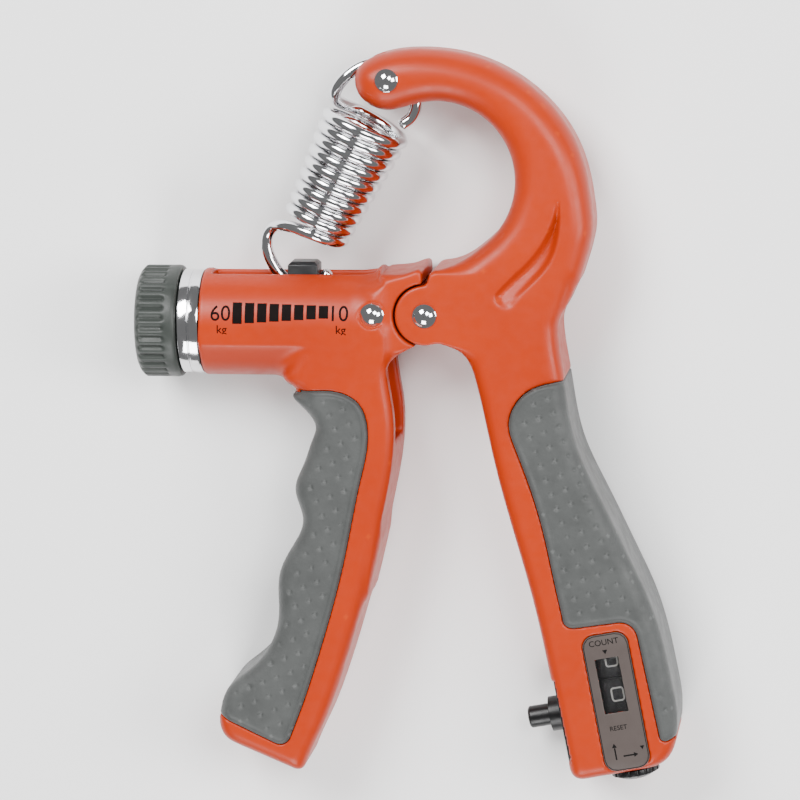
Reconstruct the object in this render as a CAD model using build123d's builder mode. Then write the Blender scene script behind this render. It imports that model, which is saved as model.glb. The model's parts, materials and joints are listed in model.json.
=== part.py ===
from build123d import *
import os
from math import asin, cos, pi, radians, sin

os.makedirs("parts", exist_ok=True)

# A hand grip strengthener lying flat on its back. Millimetres. +Y runs up towards the hook,
# +X towards the counter handle, +Z towards the printed face. Profiles are drawn about the
# pivot on which the two handles turn; at(z) is a plane through it, z above the mid-plane.
PIVOT_X, PIVOT_Y = 4.7, 22.8
MID_Z = 12.1  # mid-plane height; also the knob's radius and the grips' half thickness

# ---- driving dimensions ----
GRIP_HALF = 12.1  # half thickness over the soft grips
HANDLE_HALF = 11.4  # half thickness over the hard handles
HINGE_HALF = 10.4  # half thickness at the knuckle
HOOK_HALF = 8.0  # half thickness at the hook's nose

CHEEK_R = 6.4  # round cheeks of the hook frame's fork
SOCKET_R = 6.75  # hollow in the left handle around the cheeks
FORK_HALF = 4.2  # half the gap between the cheeks
FORK_R = 6.7  # how deep the gap goes round the pivot
TONGUE_HALF = 3.5  # the left handle's tongue in that gap
TONGUE_R = 6.3
PIN_R = 2.0  # pivot rivet
SLEEVE_R = 3.2
RUNNING = 0.05  # radial running clearance
HEAD_R = 2.55  # domed rivet heads
HEAD_HEIGHT = 1.3

BARREL_Y = -2.9  # barrel axis below the pivot
BARREL_R = 11.5
BORE_R = 8.8
BARREL_LEFT, BORE_RIGHT, BARREL_RIGHT = -48.7, -15.0, -8.8
SLOT_HALF = 3.5
SLOT_LEFT, SLOT_RIGHT = -46.6, -11.0
FERRULE_R, FERRULE_LEFT = 11.2, -53.2
FERRULE_BORE = 7.9
KNOB_LEFT, KNOB_RIGHT = -63.0, -53.5
KNOB_RIBS, KNOB_RIB_DEPTH = 34, 0.45
SCREW_R, SHAFT_R, JOURNAL_R = 2.5, 3.0, 1.4
THREAD_CLEARANCE = 0.08
CARRIAGE_X = -27.0  # where the spring carriage stands along the barrel
CARRIAGE_LENGTH = 8.0
SLIDER_R = 8.3
NECK_HALF = 3.2
BRIDGE_BOTTOM, BRIDGE_TOP = 7.1, 10.4

WIRE_R = 1.3  # tension spring
COIL_TOP, COIL_TOP_R = (-12.9, 40.4), 8.55  # middle and radius of the top coil
COIL_LOW, COIL_LOW_R = (-24.4, 17.6), 6.5
COIL_TURNS, COIL_STEPS = 9.35, 12  # turns, and wire points in each
SPRING_PIN = (-7.9, 49.7)
SPRING_PIN_R = 1.6
NOSE_SLOT_HALF = 1.9
BUSH_RIVET = (-11.2, 0.1)
BUSH_RIVET_R = 1.3
BARREL_FLAT = 10.6  # flats on the barrel under the bush rivet's heads
BUSH_R, BUSH_LENGTH, JOURNAL_DEPTH = 6.0, 5.6, 4.4
KNOB_SCREW_SEAT = -60.0
SCREW_HEAD_R, SCREW_SHANK_R = 2.6, 1.2
NUT_R = 5.0

COUNTER = (39.6, -79.15)  # middle of the counter's window
COUNTER_TILT = 10.6  # the counter leans with the handle, in degrees
WINDOW = (5.1, 12.1)
LABEL = (9.8, 30.0)
LABEL_AT = (0.3, -3.7)
DRUM_R, DRUM_WIDTH, DRUM_PITCH = 6.1, 7.5, 7.8
DRUM_V, DRUM_Z = 0.8, 3.7  # drum axis across the handle and above the mid-plane
ONES_U = -2.5  # middle of the ones drum along the handle
REEL_SHAFT_R = 1.5
PLUNGER_U, PLUNGER_Z = -7.6, -4.9
PLUNGER_R, PLUNGER_TIP = 2.4, -21.0
FACE_V = -12.7  # the handle's inner face at the counter
CASE_RIGHT, CASE_BOTTOM, CASE_TOP, MOUTH_TOP = 8.2, -15.4, 10.6, 2.4
CASE_LOW, CASE_HIGH = -8.6, 10.0  # the counter's case above the mid-plane
FIT = 0.15
CASE_WALL = 1.2
SPRING_SEAT, PLUNGER_SHOULDER = -3.4, -9.5
STEM_R, STEM_LENGTH = 1.2, 10.5
FINE_WIRE = 0.4
PAWL_V = -1.8
COLLAR_R = 3.8
RATCHET_R, RATCHET_WIDTH = 4.6, 1.5
RESET_FACE, RESET_R = -20.0, 5.2
LABEL_SEAT = 0.5
PLATE_TOP, PLATE_BOTTOM, PLATE_HEIGHT, PLATE_SEAT = 1.0, -18.0, 12.0, 1.0


def at(z):
    """Plane parallel to the mid-plane, z above it, centred on the pivot."""
    return Plane(origin=(PIVOT_X, PIVOT_Y, MID_Z + z))


def across(x):
    """Plane square to the barrel's axis and centred on it."""
    return Plane(origin=(PIVOT_X + x, PIVOT_Y + BARREL_Y, MID_Z), x_dir=(0, 1, 0), z_dir=(1, 0, 0))


def counter(z):
    """Plane on the counter's window: local x across the handle, local y up along it."""
    lean = radians(COUNTER_TILT)
    middle = (PIVOT_X + COUNTER[0], PIVOT_Y + COUNTER[1], MID_Z + z)
    return Plane(origin=middle, x_dir=(cos(lean), sin(lean), 0), z_dir=(0, 0, 1))


def reel(u):
    """Plane square to the drums' axis, u up along the handle."""
    face = counter(DRUM_Z)
    return Plane(origin=face.from_local_coords((DRUM_V, u, 0)), x_dir=face.x_dir, z_dir=face.y_dir)


def push(v):
    """Plane square to the plunger's axis, v across the handle towards its outer edge."""
    face = counter(PLUNGER_Z)
    return Plane(origin=face.from_local_coords((v, PLUNGER_U, 0)), x_dir=face.y_dir, z_dir=face.x_dir)


def span(left, right, low, high):
    """A rectangle from left to right and from low to high in the sketch being drawn."""
    with Locations(((left + right) / 2, (low + high) / 2)):
        return Rectangle(right - left, high - low)


def save(part, name):
    """Label a finished piece and write it to its own file."""
    part.label = name
    export_step(part, f"parts/{name}.step")


# ---- profiles about the pivot ----
# The hook frame: crown, outer edge, toe, inner edge, cheek, shoulder and the inside of the hook.
with BuildSketch() as hook_profile:
    with BuildLine():
        Spline((-15.3, 49.3), (-12.4, 53.8), (-0.2, 56.05), (12.4, 53.8), (20.7, 49.4),
               (29.1, 41.1), (33.8, 31.1), (35.4, 21.5), (34.1, 11.7), (30.4, 2.5), (28.1, -2),
               tangents=[(0, 1), (-0.35, -1)])
        Spline((28.1, -2), (29.5, -13.3), (32.3, -27.9), (37.5, -39.4), (43.7, -52.3),
               (47.8, -61.3), (50.6, -70.1), (52.7, -79.8), (53.7, -88), (51.4, -95.6),
               (46.5, -97.9), tangents=[(0, -1), (-1, -0.2)])
        Line((46.5, -97.9), (33.6, -100.5))
        ThreePointArc((33.6, -100.5), (31.5, -100.2), (30.4, -98.5))
        Spline((30.4, -98.5), (28.7, -90.2), (22.7, -61.7), (14.5, -31.6), (10.7, -14.5),
               (6.9, -7.4), (2.7, -5.8), tangents=[(-0.18, 1), (-1, 0.35)])
        ThreePointArc((2.7, -5.8), (-CHEEK_R, 0), (0.56, 6.375))
        Line((0.56, 6.375), (0.8, 8.2))
        ThreePointArc((0.8, 8.2), (1.3, 9.25), (2.6, 9.65))
        Spline((2.6, 9.65), (6.9, 10.9), (12.9, 15.2), tangents=[(1, 0.12), (12.8, 11)])
        ThreePointArc((12.9, 15.2), (18.8, 28), (2.5, 44.9))
        Spline((2.5, 44.9), (-3.9, 43.85), (-8.8, 42.95), (-13, 44.7), (-15.3, 49.3),
               tangents=[(-1, 0), (0, 1)])
    make_face()

# The left handle below the barrel: inner edge, toe, and the finger waves back up.
with BuildSketch() as handle_profile:
    with BuildLine():
        Spline((-8.6, -3), (-8.4, -12), (-7.05, -21), (-9.6, -43.7), (-15.2, -66.5),
               (-23.6, -90.9), (-27, -98.4), tangents=[(0, -1), (-0.4, -1)])
        ThreePointArc((-27, -98.4), (-27.9, -99.7), (-29.6, -99.5))
        Line((-29.6, -99.5), (-42.4, -94.1))
        Spline((-42.4, -94.1), (-45.3, -91.4), (-45.5, -86.3), (-43.5, -81.4), (-39.2, -77.7),
               (-35.2, -73.3), (-32.6, -66.5), (-32.2, -56.5), (-29.2, -50.2), (-26.9, -44.6),
               (-28.5, -37.8), (-26.5, -32.2), (-24.6, -26.9), (-25.4, -21.4), (-27.9, -17.4),
               (-31, -14), tangents=[(-1, 0.42), (-1, 0.6)])
        Spline((-31, -14), (-25, -6.8), (-16, -3.4), (-8.6, -3), tangents=[(0.5, 1), (1, 0)])
    make_face()

# The knuckle at the barrel's right end, with the hollow for the cheeks.
with BuildSketch() as knuckle_profile:
    with BuildLine():
        Line((-9.6, 8.4), (-4.8, 8.75))
        Spline((-4.8, 8.75), (-1.4, 9.8), tangents=[(1, 0.1), (1, 0.15)])
        ThreePointArc((-1.4, 9.8), (-0.75, 9.6), (-0.55, 8.9))
        Line((-0.55, 8.9), (-0.55, 6.73))
        ThreePointArc((-0.55, 6.73), (-SOCKET_R, 0), (-1.75, -6.52))
        Spline((-1.75, -6.52), (-5.5, -8.4), (-8.5, -12), tangents=[(-1, -0.25), (-0.2, -1)])
        Line((-8.5, -12), (-9.6, -12))
        Line((-9.6, -12), (-9.6, 8.4))
    make_face()

# Where the soft grips cover the handles. Each runs past the handle's outer edge.
with BuildSketch() as palm_zone:
    with BuildLine():
        Spline((40, -12.6), (29, -13.9), (21.6, -16.3), (18, -22.4), (19.4, -28.3),
               (25.1, -45.7), (27.5, -56.9), (29.2, -64.6), tangents=[(-1, -0.1), (0.22, -1)])
        ThreePointArc((29.2, -64.6), (29.9, -66.3), (31.6, -66.8))
        Line((31.6, -66.8), (40.2, -65.5))
        ThreePointArc((40.2, -65.5), (43.6, -66), (45.2, -68.4))
        Line((45.2, -68.4), (49.9, -90.1))
        ThreePointArc((49.9, -90.1), (50.4, -91), (51.6, -91.1))
        Line((51.6, -91.1), (62, -86))
        Line((62, -86), (62, -12.6))
        Line((62, -12.6), (40, -12.6))
    make_face()
with BuildSketch() as finger_zone:
    with BuildLine():
        Spline((-40, -14.4), (-26, -16.4), (-18.8, -16.5), (-14.3, -18.9), (-12.5, -23.3),
               (-14, -35), (-18.3, -55), (-25.2, -78.7), (-30, -91.8),
               tangents=[(1, -0.1), (-0.4, -1)])
        ThreePointArc((-30, -91.8), (-31.2, -93.3), (-33, -93.4))
        Line((-33, -93.4), (-43.5, -88.4))
        Line((-43.5, -88.4), (-56, -82))
        Line((-56, -82), (-56, -14.4))
        Line((-56, -14.4), (-40, -14.4))
    make_face()

# Outlines of the cores left under the soft grips, about 2 mm inside the handles' edges.
with BuildSketch() as palm_core:
    with BuildLine():
        Spline((27.4, -12), (30.2, -28.4), (35.4, -40.2), (41.6, -53.2), (45.7, -62.1),
               (48.5, -70.8), (50.6, -80.4), (51.4, -88), (49.6, -94))
        Line((49.6, -94), (10, -94))
        Line((10, -94), (10, -12))
        Line((10, -12), (27.4, -12))
    make_face()
    add(palm_zone.sketch, mode=Mode.INTERSECT)
with BuildSketch() as finger_core:
    with BuildLine():
        Spline((-24.5, -12), (-22.8, -22), (-22.7, -27.6), (-26.3, -38), (-24.9, -44.4),
               (-27.2, -51), (-30.2, -58), (-30.7, -67), (-33.8, -74.6), (-41.6, -82.4), (-43.2, -88),
               (-41, -94))
        Line((-41, -94), (-5, -94))
        Line((-5, -94), (-5, -12))
        Line((-5, -12), (-24.5, -12))
    make_face()
    add(finger_zone.sketch, mode=Mode.INTERSECT)
CORE_HALF = HANDLE_HALF - 1.4

# ---- hook frame: hook, fork cheeks and counter handle in one moulding ----
with BuildPart() as hook_frame:
    with BuildSketch(at(-HANDLE_HALF)):
        add(hook_profile.sketch)
        add(palm_zone.sketch, mode=Mode.SUBTRACT)
    extrude(amount=2 * HANDLE_HALF)
    # The moulding thickens from the nose of the hook down to the handle.
    with BuildSketch(Plane(origin=(PIVOT_X - 60, PIVOT_Y, MID_Z), x_dir=(0, 1, 0), z_dir=(1, 0, 0))):
        with BuildLine():
            Spline((60, HOOK_HALF - 0.3), (44, HOOK_HALF), (16, HINGE_HALF - 0.6), (0, HINGE_HALF),
                   (-24, HANDLE_HALF - 0.3), (-45, HANDLE_HALF))
            Line((-45, HANDLE_HALF), (-110, HANDLE_HALF))
            Line((-110, HANDLE_HALF), (-110, 0))
            Line((60, 0), (60, HOOK_HALF - 0.3))
            mirror(about=Plane.XZ)
        make_face()
    extrude(amount=140, mode=Mode.INTERSECT)
    with BuildSketch(at(-CORE_HALF)):
        add(palm_core.sketch)
    extrude(amount=2 * CORE_HALF)
    # Gap between the cheeks, the slot in the nose for the spring, and the two rivet holes.
    with BuildSketch(at(-FORK_HALF)):
        Circle(FORK_R)
    extrude(amount=2 * FORK_HALF, mode=Mode.SUBTRACT)
    with BuildSketch(at(-NOSE_SLOT_HALF)):
        span(-20, -1, 40, SPRING_PIN[1] + 5)
    extrude(amount=2 * NOSE_SLOT_HALF, mode=Mode.SUBTRACT)
    with BuildSketch(at(-GRIP_HALF)):
        Circle(PIN_R)
        with Locations(SPRING_PIN):
            Circle(SPRING_PIN_R)
    extrude(amount=2 * GRIP_HALF, mode=Mode.SUBTRACT)
    # Teardrop hollow in both faces of the shoulder.
    for side in (-1, 1):
        with BuildSketch(at(side * (HINGE_HALF - 1.6))):
            with BuildLine():
                Spline((28.3, 24), (28.3, 17.5), (26.3, 11), (22.3, 6.3), (18.6, 2.1))
                ThreePointArc((18.6, 2.1), (16.4, 2), (15.2, 4.6))
                Spline((15.2, 4.6), (19.5, 8.9), (23.4, 12.9), (26.3, 17.6), (28.3, 24))
            make_face()
        extrude(amount=side * 4, mode=Mode.SUBTRACT)
    # Counter pocket, its mouth in the inner face, the window and the label's seat.
    with BuildSketch(counter(CASE_LOW - FIT)):
        span(-8.4 - FIT, CASE_RIGHT + FIT, CASE_BOTTOM - FIT, CASE_TOP + FIT)
        span(FACE_V - 3, -8, CASE_BOTTOM - FIT, MOUTH_TOP + FIT)
    extrude(amount=CASE_HIGH - CASE_LOW + 2 * FIT, mode=Mode.SUBTRACT)
    with BuildSketch(counter(CASE_HIGH)):
        Rectangle(*WINDOW)
    extrude(amount=6, mode=Mode.SUBTRACT)
    with BuildSketch(counter(HANDLE_HALF - LABEL_SEAT)):
        with Locations(LABEL_AT):
            RectangleRounded(LABEL[0] + 0.2, LABEL[1] + 0.2, 2.7)
    extrude(amount=4, mode=Mode.SUBTRACT)
    with BuildSketch(counter(PLUNGER_Z - PLATE_HEIGHT / 2)):
        span(FACE_V - 4, FACE_V + PLATE_SEAT, PLATE_BOTTOM - 0.1, PLATE_TOP + 0.1)
    extrude(amount=PLATE_HEIGHT, mode=Mode.SUBTRACT)
    with BuildSketch(reel(CASE_BOTTOM + 1)):
        Circle(REEL_SHAFT_R + 0.5)
    extrude(amount=-20, mode=Mode.SUBTRACT)
save(hook_frame.part, "hook_frame")

with BuildPart() as palm_grip:
    with BuildSketch(at(-GRIP_HALF)):
        add(hook_profile.sketch)
        add(palm_zone.sketch, mode=Mode.INTERSECT)
    extrude(amount=2 * GRIP_HALF)
    with BuildSketch(at(-CORE_HALF)):
        add(palm_core.sketch)
    extrude(amount=2 * CORE_HALF, mode=Mode.SUBTRACT)
save(palm_grip.part, "palm_grip")

# ---- rivets and washers on the hook frame ----
def rivet(middle, radius, half):
    """A pin through half above and below the mid-plane, with a domed head beyond each face."""
    dome = (HEAD_R**2 + HEAD_HEIGHT**2) / (2 * HEAD_HEIGHT)
    lean = asin(HEAD_R / dome) / 2
    shoulder = half + HEAD_HEIGHT - dome * (1 - cos(lean))
    centre = (PIVOT_X + middle[0], PIVOT_Y + middle[1], MID_Z)
    with BuildPart() as pin:
        with BuildSketch(Plane(origin=centre, x_dir=(1, 0, 0), z_dir=(0, -1, 0))):
            with BuildLine():
                Line((0, half + HEAD_HEIGHT), (0, -half - HEAD_HEIGHT))
                ThreePointArc((0, -half - HEAD_HEIGHT), (dome * sin(lean), -shoulder), (HEAD_R, -half))
                Line((HEAD_R, -half), (radius, -half))
                Line((radius, -half), (radius, half))
                Line((radius, half), (HEAD_R, half))
                ThreePointArc((HEAD_R, half), (dome * sin(lean), shoulder), (0, half + HEAD_HEIGHT))
            make_face()
        revolve(axis=Axis(centre, (0, 0, 1)))
    return pin.part


save(rivet((0, 0), PIN_R, HINGE_HALF + 0.15), "pivot_rivet")
save(rivet(SPRING_PIN, SPRING_PIN_R, HOOK_HALF - 0.1), "spring_pin")
save(rivet(BUSH_RIVET, BUSH_RIVET_R, BARREL_FLAT), "bush_rivet")

with BuildPart() as pivot_washers:
    for low in (-FORK_HALF, TONGUE_HALF + 0.1):
        with BuildSketch(at(low)):
            Circle(SLEEVE_R + 1.8)
            Circle(PIN_R, mode=Mode.SUBTRACT)
        extrude(amount=FORK_HALF - TONGUE_HALF - 0.1)
save(pivot_washers.part, "pivot_washers")

# ---- left handle: barrel, knuckle, tongue and finger handle in one moulding ----
with BuildPart() as left_handle:
    with BuildSketch(at(-HANDLE_HALF)):
        add(handle_profile.sketch)
        add(finger_zone.sketch, mode=Mode.SUBTRACT)
    extrude(amount=2 * HANDLE_HALF)
    with BuildSketch(at(-CORE_HALF)):
        add(finger_core.sketch)
    extrude(amount=2 * CORE_HALF)
    with BuildSketch(across(BARREL_LEFT)):
        Circle(BARREL_R)
    extrude(amount=-14 - BARREL_LEFT)
    # The round barrel flattens into the knuckle.
    with BuildSketch(across(-14)):
        RectangleRounded(2 * BARREL_R, 2 * BARREL_R, BARREL_R - 0.01)
    with BuildSketch(across(BARREL_RIGHT)):
        RectangleRounded(2 * BARREL_R, 2 * HINGE_HALF, 4)
    loft()
    with BuildSketch(at(-HINGE_HALF)):
        add(knuckle_profile.sketch)
    extrude(amount=2 * HINGE_HALF)
    # Clear the cheeks, but leave the tongue between them.
    for low in (-GRIP_HALF, FORK_HALF - 0.1):
        with BuildSketch(at(low)):
            Circle(SOCKET_R)
        extrude(amount=GRIP_HALF - FORK_HALF + 0.1, mode=Mode.SUBTRACT)
    with BuildSketch(at(-TONGUE_HALF)):
        Circle(TONGUE_R)
        with BuildLine():
            Polyline((0, 0), (-1.5, 6.6), (-9, 6.6), (-9, -8), (-2.2, -6.6), close=True)
        make_face()
    extrude(amount=2 * TONGUE_HALF)
    with BuildSketch(at(-TONGUE_HALF)):
        Circle(SLEEVE_R)
    extrude(amount=2 * TONGUE_HALF, mode=Mode.SUBTRACT)
    # Bore for the carriage, the bush's seat, the slot on top and the rivet's hole.
    with BuildSketch(across(BARREL_LEFT)):
        Circle(BORE_R)
    extrude(amount=BORE_RIGHT - BARREL_LEFT, mode=Mode.SUBTRACT)
    with BuildSketch(across(BORE_RIGHT)):
        Circle(BUSH_R)
    extrude(amount=BUSH_LENGTH, mode=Mode.SUBTRACT)
    with BuildSketch(at(-SLOT_HALF)):
        span(SLOT_LEFT, SLOT_RIGHT, BARREL_Y + 4.5, 20)
    extrude(amount=2 * SLOT_HALF, mode=Mode.SUBTRACT)
    with BuildSketch(at(-GRIP_HALF)):
        with Locations(BUSH_RIVET):
            Circle(BUSH_RIVET_R)
    extrude(amount=2 * GRIP_HALF, mode=Mode.SUBTRACT)
    for side in (-1, 1):
        with BuildSketch(at(side * BARREL_FLAT)):
            with Locations(BUSH_RIVET):
                Circle(HEAD_R + 0.1)
        extrude(amount=side * 3, mode=Mode.SUBTRACT)
    # Weight-saving hollow in the inner face below the knuckle.
    with BuildSketch(at(-6.5)):
        span(-12, -4, -28, -12.5)
    extrude(amount=13, mode=Mode.SUBTRACT)
save(left_handle.part, "left_handle")

with BuildPart() as finger_grip:
    with BuildSketch(at(-GRIP_HALF)):
        add(handle_profile.sketch)
        add(finger_zone.sketch, mode=Mode.INTERSECT)
    extrude(amount=2 * GRIP_HALF)
    with BuildSketch(at(-CORE_HALF)):
        add(finger_core.sketch)
    extrude(amount=2 * CORE_HALF, mode=Mode.SUBTRACT)
save(finger_grip.part, "finger_grip")

with BuildPart() as pivot_sleeve:
    with BuildSketch(at(-TONGUE_HALF)):
        Circle(SLEEVE_R)
        Circle(PIN_R + RUNNING, mode=Mode.SUBTRACT)
    extrude(amount=2 * TONGUE_HALF)
save(pivot_sleeve.part, "pivot_sleeve")

with BuildPart() as end_bush:
    with BuildSketch(across(BORE_RIGHT)):
        Circle(BUSH_R)
    extrude(amount=BUSH_LENGTH)
    with BuildSketch(across(BORE_RIGHT)):
        Circle(JOURNAL_R + RUNNING)
    extrude(amount=JOURNAL_DEPTH, mode=Mode.SUBTRACT)
    with BuildSketch(at(-GRIP_HALF)):
        with Locations(BUSH_RIVET):
            Circle(BUSH_RIVET_R)
    extrude(amount=2 * GRIP_HALF, mode=Mode.SUBTRACT)
save(end_bush.part, "end_bush")

with BuildPart() as ferrule:
    with BuildSketch(across(FERRULE_LEFT)):
        Circle(FERRULE_R)
    extrude(amount=BARREL_LEFT - FERRULE_LEFT)
    chamfer(ferrule.edges().filter_by(GeomType.CIRCLE), length=0.35)
    with BuildSketch(across(BARREL_LEFT)):
        Circle(BORE_R)
    extrude(amount=1.2)
    with BuildSketch(across(FERRULE_LEFT)):
        Circle(FERRULE_BORE)
    extrude(amount=BARREL_LEFT - FERRULE_LEFT + 1.2, mode=Mode.SUBTRACT)
save(ferrule.part, "ferrule")

with BuildPart() as screw_bearing:
    with BuildSketch(across(FERRULE_LEFT + 0.2)):
        Circle(FERRULE_BORE)
        Circle(SHAFT_R + RUNNING, mode=Mode.SUBTRACT)
    extrude(amount=BARREL_LEFT - FERRULE_LEFT)
save(screw_bearing.part, "screw_bearing")

# ---- tension screw: knob, lead screw, thrust washer and the screw that holds the knob ----
with BuildPart() as tension_knob:
    with BuildSketch(across(KNOB_LEFT)):
        Circle(GRIP_HALF)
    extrude(amount=KNOB_RIGHT - KNOB_LEFT)
    chamfer(tension_knob.edges().filter_by(GeomType.CIRCLE).sort_by(Axis.X)[0], length=1.8, length2=0.7)
    chamfer(tension_knob.edges().filter_by(GeomType.CIRCLE).sort_by(Axis.X)[-1], length=0.5)
    with BuildSketch(across(KNOB_LEFT + 1.6)):
        with PolarLocations(GRIP_HALF, KNOB_RIBS):
            Rectangle(2 * KNOB_RIB_DEPTH, 0.9)
    extrude(amount=5.4, mode=Mode.SUBTRACT)
    with BuildSketch(across(KNOB_LEFT + 3)):
        Circle(10)
        Circle(6.5, mode=Mode.SUBTRACT)
    extrude(amount=20, mode=Mode.SUBTRACT)
    with BuildSketch(across(KNOB_SCREW_SEAT)):
        Circle(SHAFT_R)
    extrude(amount=20, mode=Mode.SUBTRACT)
    with BuildSketch(across(KNOB_LEFT)):
        Circle(SCREW_HEAD_R + 0.15)
    extrude(amount=1.8, mode=Mode.SUBTRACT)
    with BuildSketch(across(KNOB_LEFT)):
        Circle(SCREW_SHANK_R + 0.1)
    extrude(amount=20, mode=Mode.SUBTRACT)
save(tension_knob.part, "tension_knob")

with BuildPart() as lead_screw:
    with BuildSketch(across(KNOB_SCREW_SEAT)):
        Circle(SHAFT_R)
    extrude(amount=BARREL_LEFT + 0.4 - KNOB_SCREW_SEAT)
    with BuildSketch(across(BARREL_LEFT + 0.4)):
        Circle(5)
    extrude(amount=0.9)
    with BuildSketch(across(BARREL_LEFT + 1)):
        Circle(SCREW_R)
    extrude(amount=BORE_RIGHT - 0.3 - BARREL_LEFT - 1)
    with BuildSketch(across(BORE_RIGHT - 1)):
        Circle(JOURNAL_R)
    extrude(amount=JOURNAL_DEPTH)
    with BuildSketch(across(KNOB_SCREW_SEAT)):
        Circle(SCREW_SHANK_R)
    extrude(amount=5, mode=Mode.SUBTRACT)
save(lead_screw.part, "lead_screw")

with BuildPart() as thrust_washer:
    with BuildSketch(across(KNOB_RIGHT)):
        Circle(6.4)
        Circle(SHAFT_R, mode=Mode.SUBTRACT)
    extrude(amount=0.4)
save(thrust_washer.part, "thrust_washer")

with BuildPart() as knob_screw:
    with BuildSketch(across(KNOB_LEFT + 0.3)):
        Circle(SCREW_HEAD_R)
    extrude(amount=1.5)
    with BuildSketch(across(KNOB_LEFT + 0.3)):
        Rectangle(0.8, 3.6)
        Rectangle(3.6, 0.8)
    extrude(amount=0.8, mode=Mode.SUBTRACT)
    with BuildSketch(across(KNOB_LEFT + 1.8)):
        Circle(SCREW_SHANK_R)
    extrude(amount=KNOB_SCREW_SEAT + 5 - KNOB_LEFT - 1.8)
save(knob_screw.part, "knob_screw")

# ---- spring carriage: slider, neck through the slot, and a bridge over the spring's hook ----
carriage_left = CARRIAGE_X - CARRIAGE_LENGTH / 2
with BuildPart() as spring_carriage:
    with BuildSketch(across(carriage_left)):
        Circle(SLIDER_R)
    extrude(amount=CARRIAGE_LENGTH)
    with BuildSketch(at(-NECK_HALF)):
        span(CARRIAGE_X - NECK_HALF, CARRIAGE_X + NECK_HALF, BARREL_Y + 6, BRIDGE_TOP)
    extrude(amount=2 * NECK_HALF)
    top = spring_carriage.faces().sort_by(Axis.Y)[-1]
    chamfer(top.edges(), length=0.7)
    with BuildSketch(at(-WIRE_R - 0.4)):
        span(carriage_left - 1, carriage_left + CARRIAGE_LENGTH + 1, BARREL_Y + 5.8, BRIDGE_BOTTOM)
    extrude(amount=2 * WIRE_R + 0.8, mode=Mode.SUBTRACT)
    with BuildSketch(across(carriage_left)):
        Circle(SCREW_R + 0.4)
    extrude(amount=CARRIAGE_LENGTH, mode=Mode.SUBTRACT)
    with BuildSketch(across(carriage_left + 1)):
        RegularPolygon(NUT_R, 6)
    extrude(amount=CARRIAGE_LENGTH - 2, mode=Mode.SUBTRACT)
save(spring_carriage.part, "spring_carriage")

with BuildPart() as carriage_nut:
    with BuildSketch(across(carriage_left + 1)):
        RegularPolygon(NUT_R, 6)
        Circle(SCREW_R + THREAD_CLEARANCE, mode=Mode.SUBTRACT)
    extrude(amount=CARRIAGE_LENGTH - 2)
save(carriage_nut.part, "carriage_nut")

# ---- counter: case, side plate, drums, reset, plunger, label and lens ----
with BuildPart() as counter_case:
    with BuildSketch(counter(CASE_LOW)):
        span(-8.4, CASE_RIGHT, CASE_BOTTOM, CASE_TOP)
    extrude(amount=CASE_HIGH - CASE_LOW)
    with BuildSketch(counter(CASE_LOW)):
        span(FACE_V + PLATE_SEAT, -8, CASE_BOTTOM, MOUTH_TOP)
    extrude(amount=CASE_HIGH - CASE_LOW)
    with BuildSketch(counter(CASE_LOW + CASE_WALL)):
        span(-8.4 + CASE_WALL, CASE_RIGHT - CASE_WALL, CASE_BOTTOM + CASE_WALL, CASE_TOP - CASE_WALL)
    extrude(amount=CASE_HIGH - CASE_LOW - CASE_WALL, mode=Mode.SUBTRACT)
    with BuildSketch(reel(CASE_BOTTOM)):
        Circle(REEL_SHAFT_R + RUNNING)
    extrude(amount=60, mode=Mode.SUBTRACT)
    with BuildSketch(push(FACE_V)):
        Circle(PLUNGER_R + 0.15)
    extrude(amount=SPRING_SEAT - FACE_V, mode=Mode.SUBTRACT)
    # Rib that the plunger's spring leans on.
    with BuildSketch(push(SPRING_SEAT)):
        with Locations((0, CASE_LOW + CASE_WALL / 2 - PLUNGER_Z + 2.9)):
            Rectangle(7, 2 * 2.9)
        Circle(STEM_R + 0.15, mode=Mode.SUBTRACT)
    extrude(amount=0.9)
save(counter_case.part, "counter_case")

with BuildPart() as side_plate:
    with BuildSketch(counter(PLUNGER_Z - PLATE_HEIGHT / 2)):
        span(FACE_V - 0.8, FACE_V + PLATE_SEAT, PLATE_BOTTOM, PLATE_TOP)
    extrude(amount=PLATE_HEIGHT)
    with BuildSketch(push(FACE_V - 0.8)):
        Circle(COLLAR_R)
    extrude(amount=-2.7)
    with BuildSketch(push(FACE_V - 5)):
        Circle(PLUNGER_R + 0.15)
    extrude(amount=8, mode=Mode.SUBTRACT)
save(side_plate.part, "side_plate")

with BuildPart() as plunger:
    with BuildSketch(push(PLUNGER_TIP)):
        Circle(PLUNGER_R)
    extrude(amount=PLUNGER_SHOULDER - PLUNGER_TIP)
    chamfer(plunger.edges().filter_by(GeomType.CIRCLE).sort_by(Axis.X)[0], length=0.4)
    with BuildSketch(push(PLUNGER_SHOULDER)):
        Circle(STEM_R)
    extrude(amount=STEM_LENGTH)
save(plunger.part, "plunger")

with BuildPart() as plunger_spring:
    spring_length = SPRING_SEAT - PLUNGER_SHOULDER
    with BuildLine():
        turns = Helix(pitch=(spring_length - 2 * FINE_WIRE) / 4, height=spring_length - 2 * FINE_WIRE,
                      radius=STEM_R + 2 * FINE_WIRE, center=push(PLUNGER_SHOULDER + FINE_WIRE).origin,
                      direction=push(0).z_dir)
    with BuildSketch(Plane(origin=turns @ 0, z_dir=turns % 0)):
        Circle(FINE_WIRE / 2)
    sweep(path=turns, is_frenet=True)
save(plunger_spring.part, "plunger_spring")

with BuildPart() as feed_pawl:
    with BuildSketch(push(PAWL_V)):
        Circle(STEM_R + 0.6)
        with Locations((0.3, 1.6)):
            Rectangle(1.6, 3.2)
        Circle(STEM_R, mode=Mode.SUBTRACT)
    extrude(amount=1.6)
save(feed_pawl.part, "feed_pawl")


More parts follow.
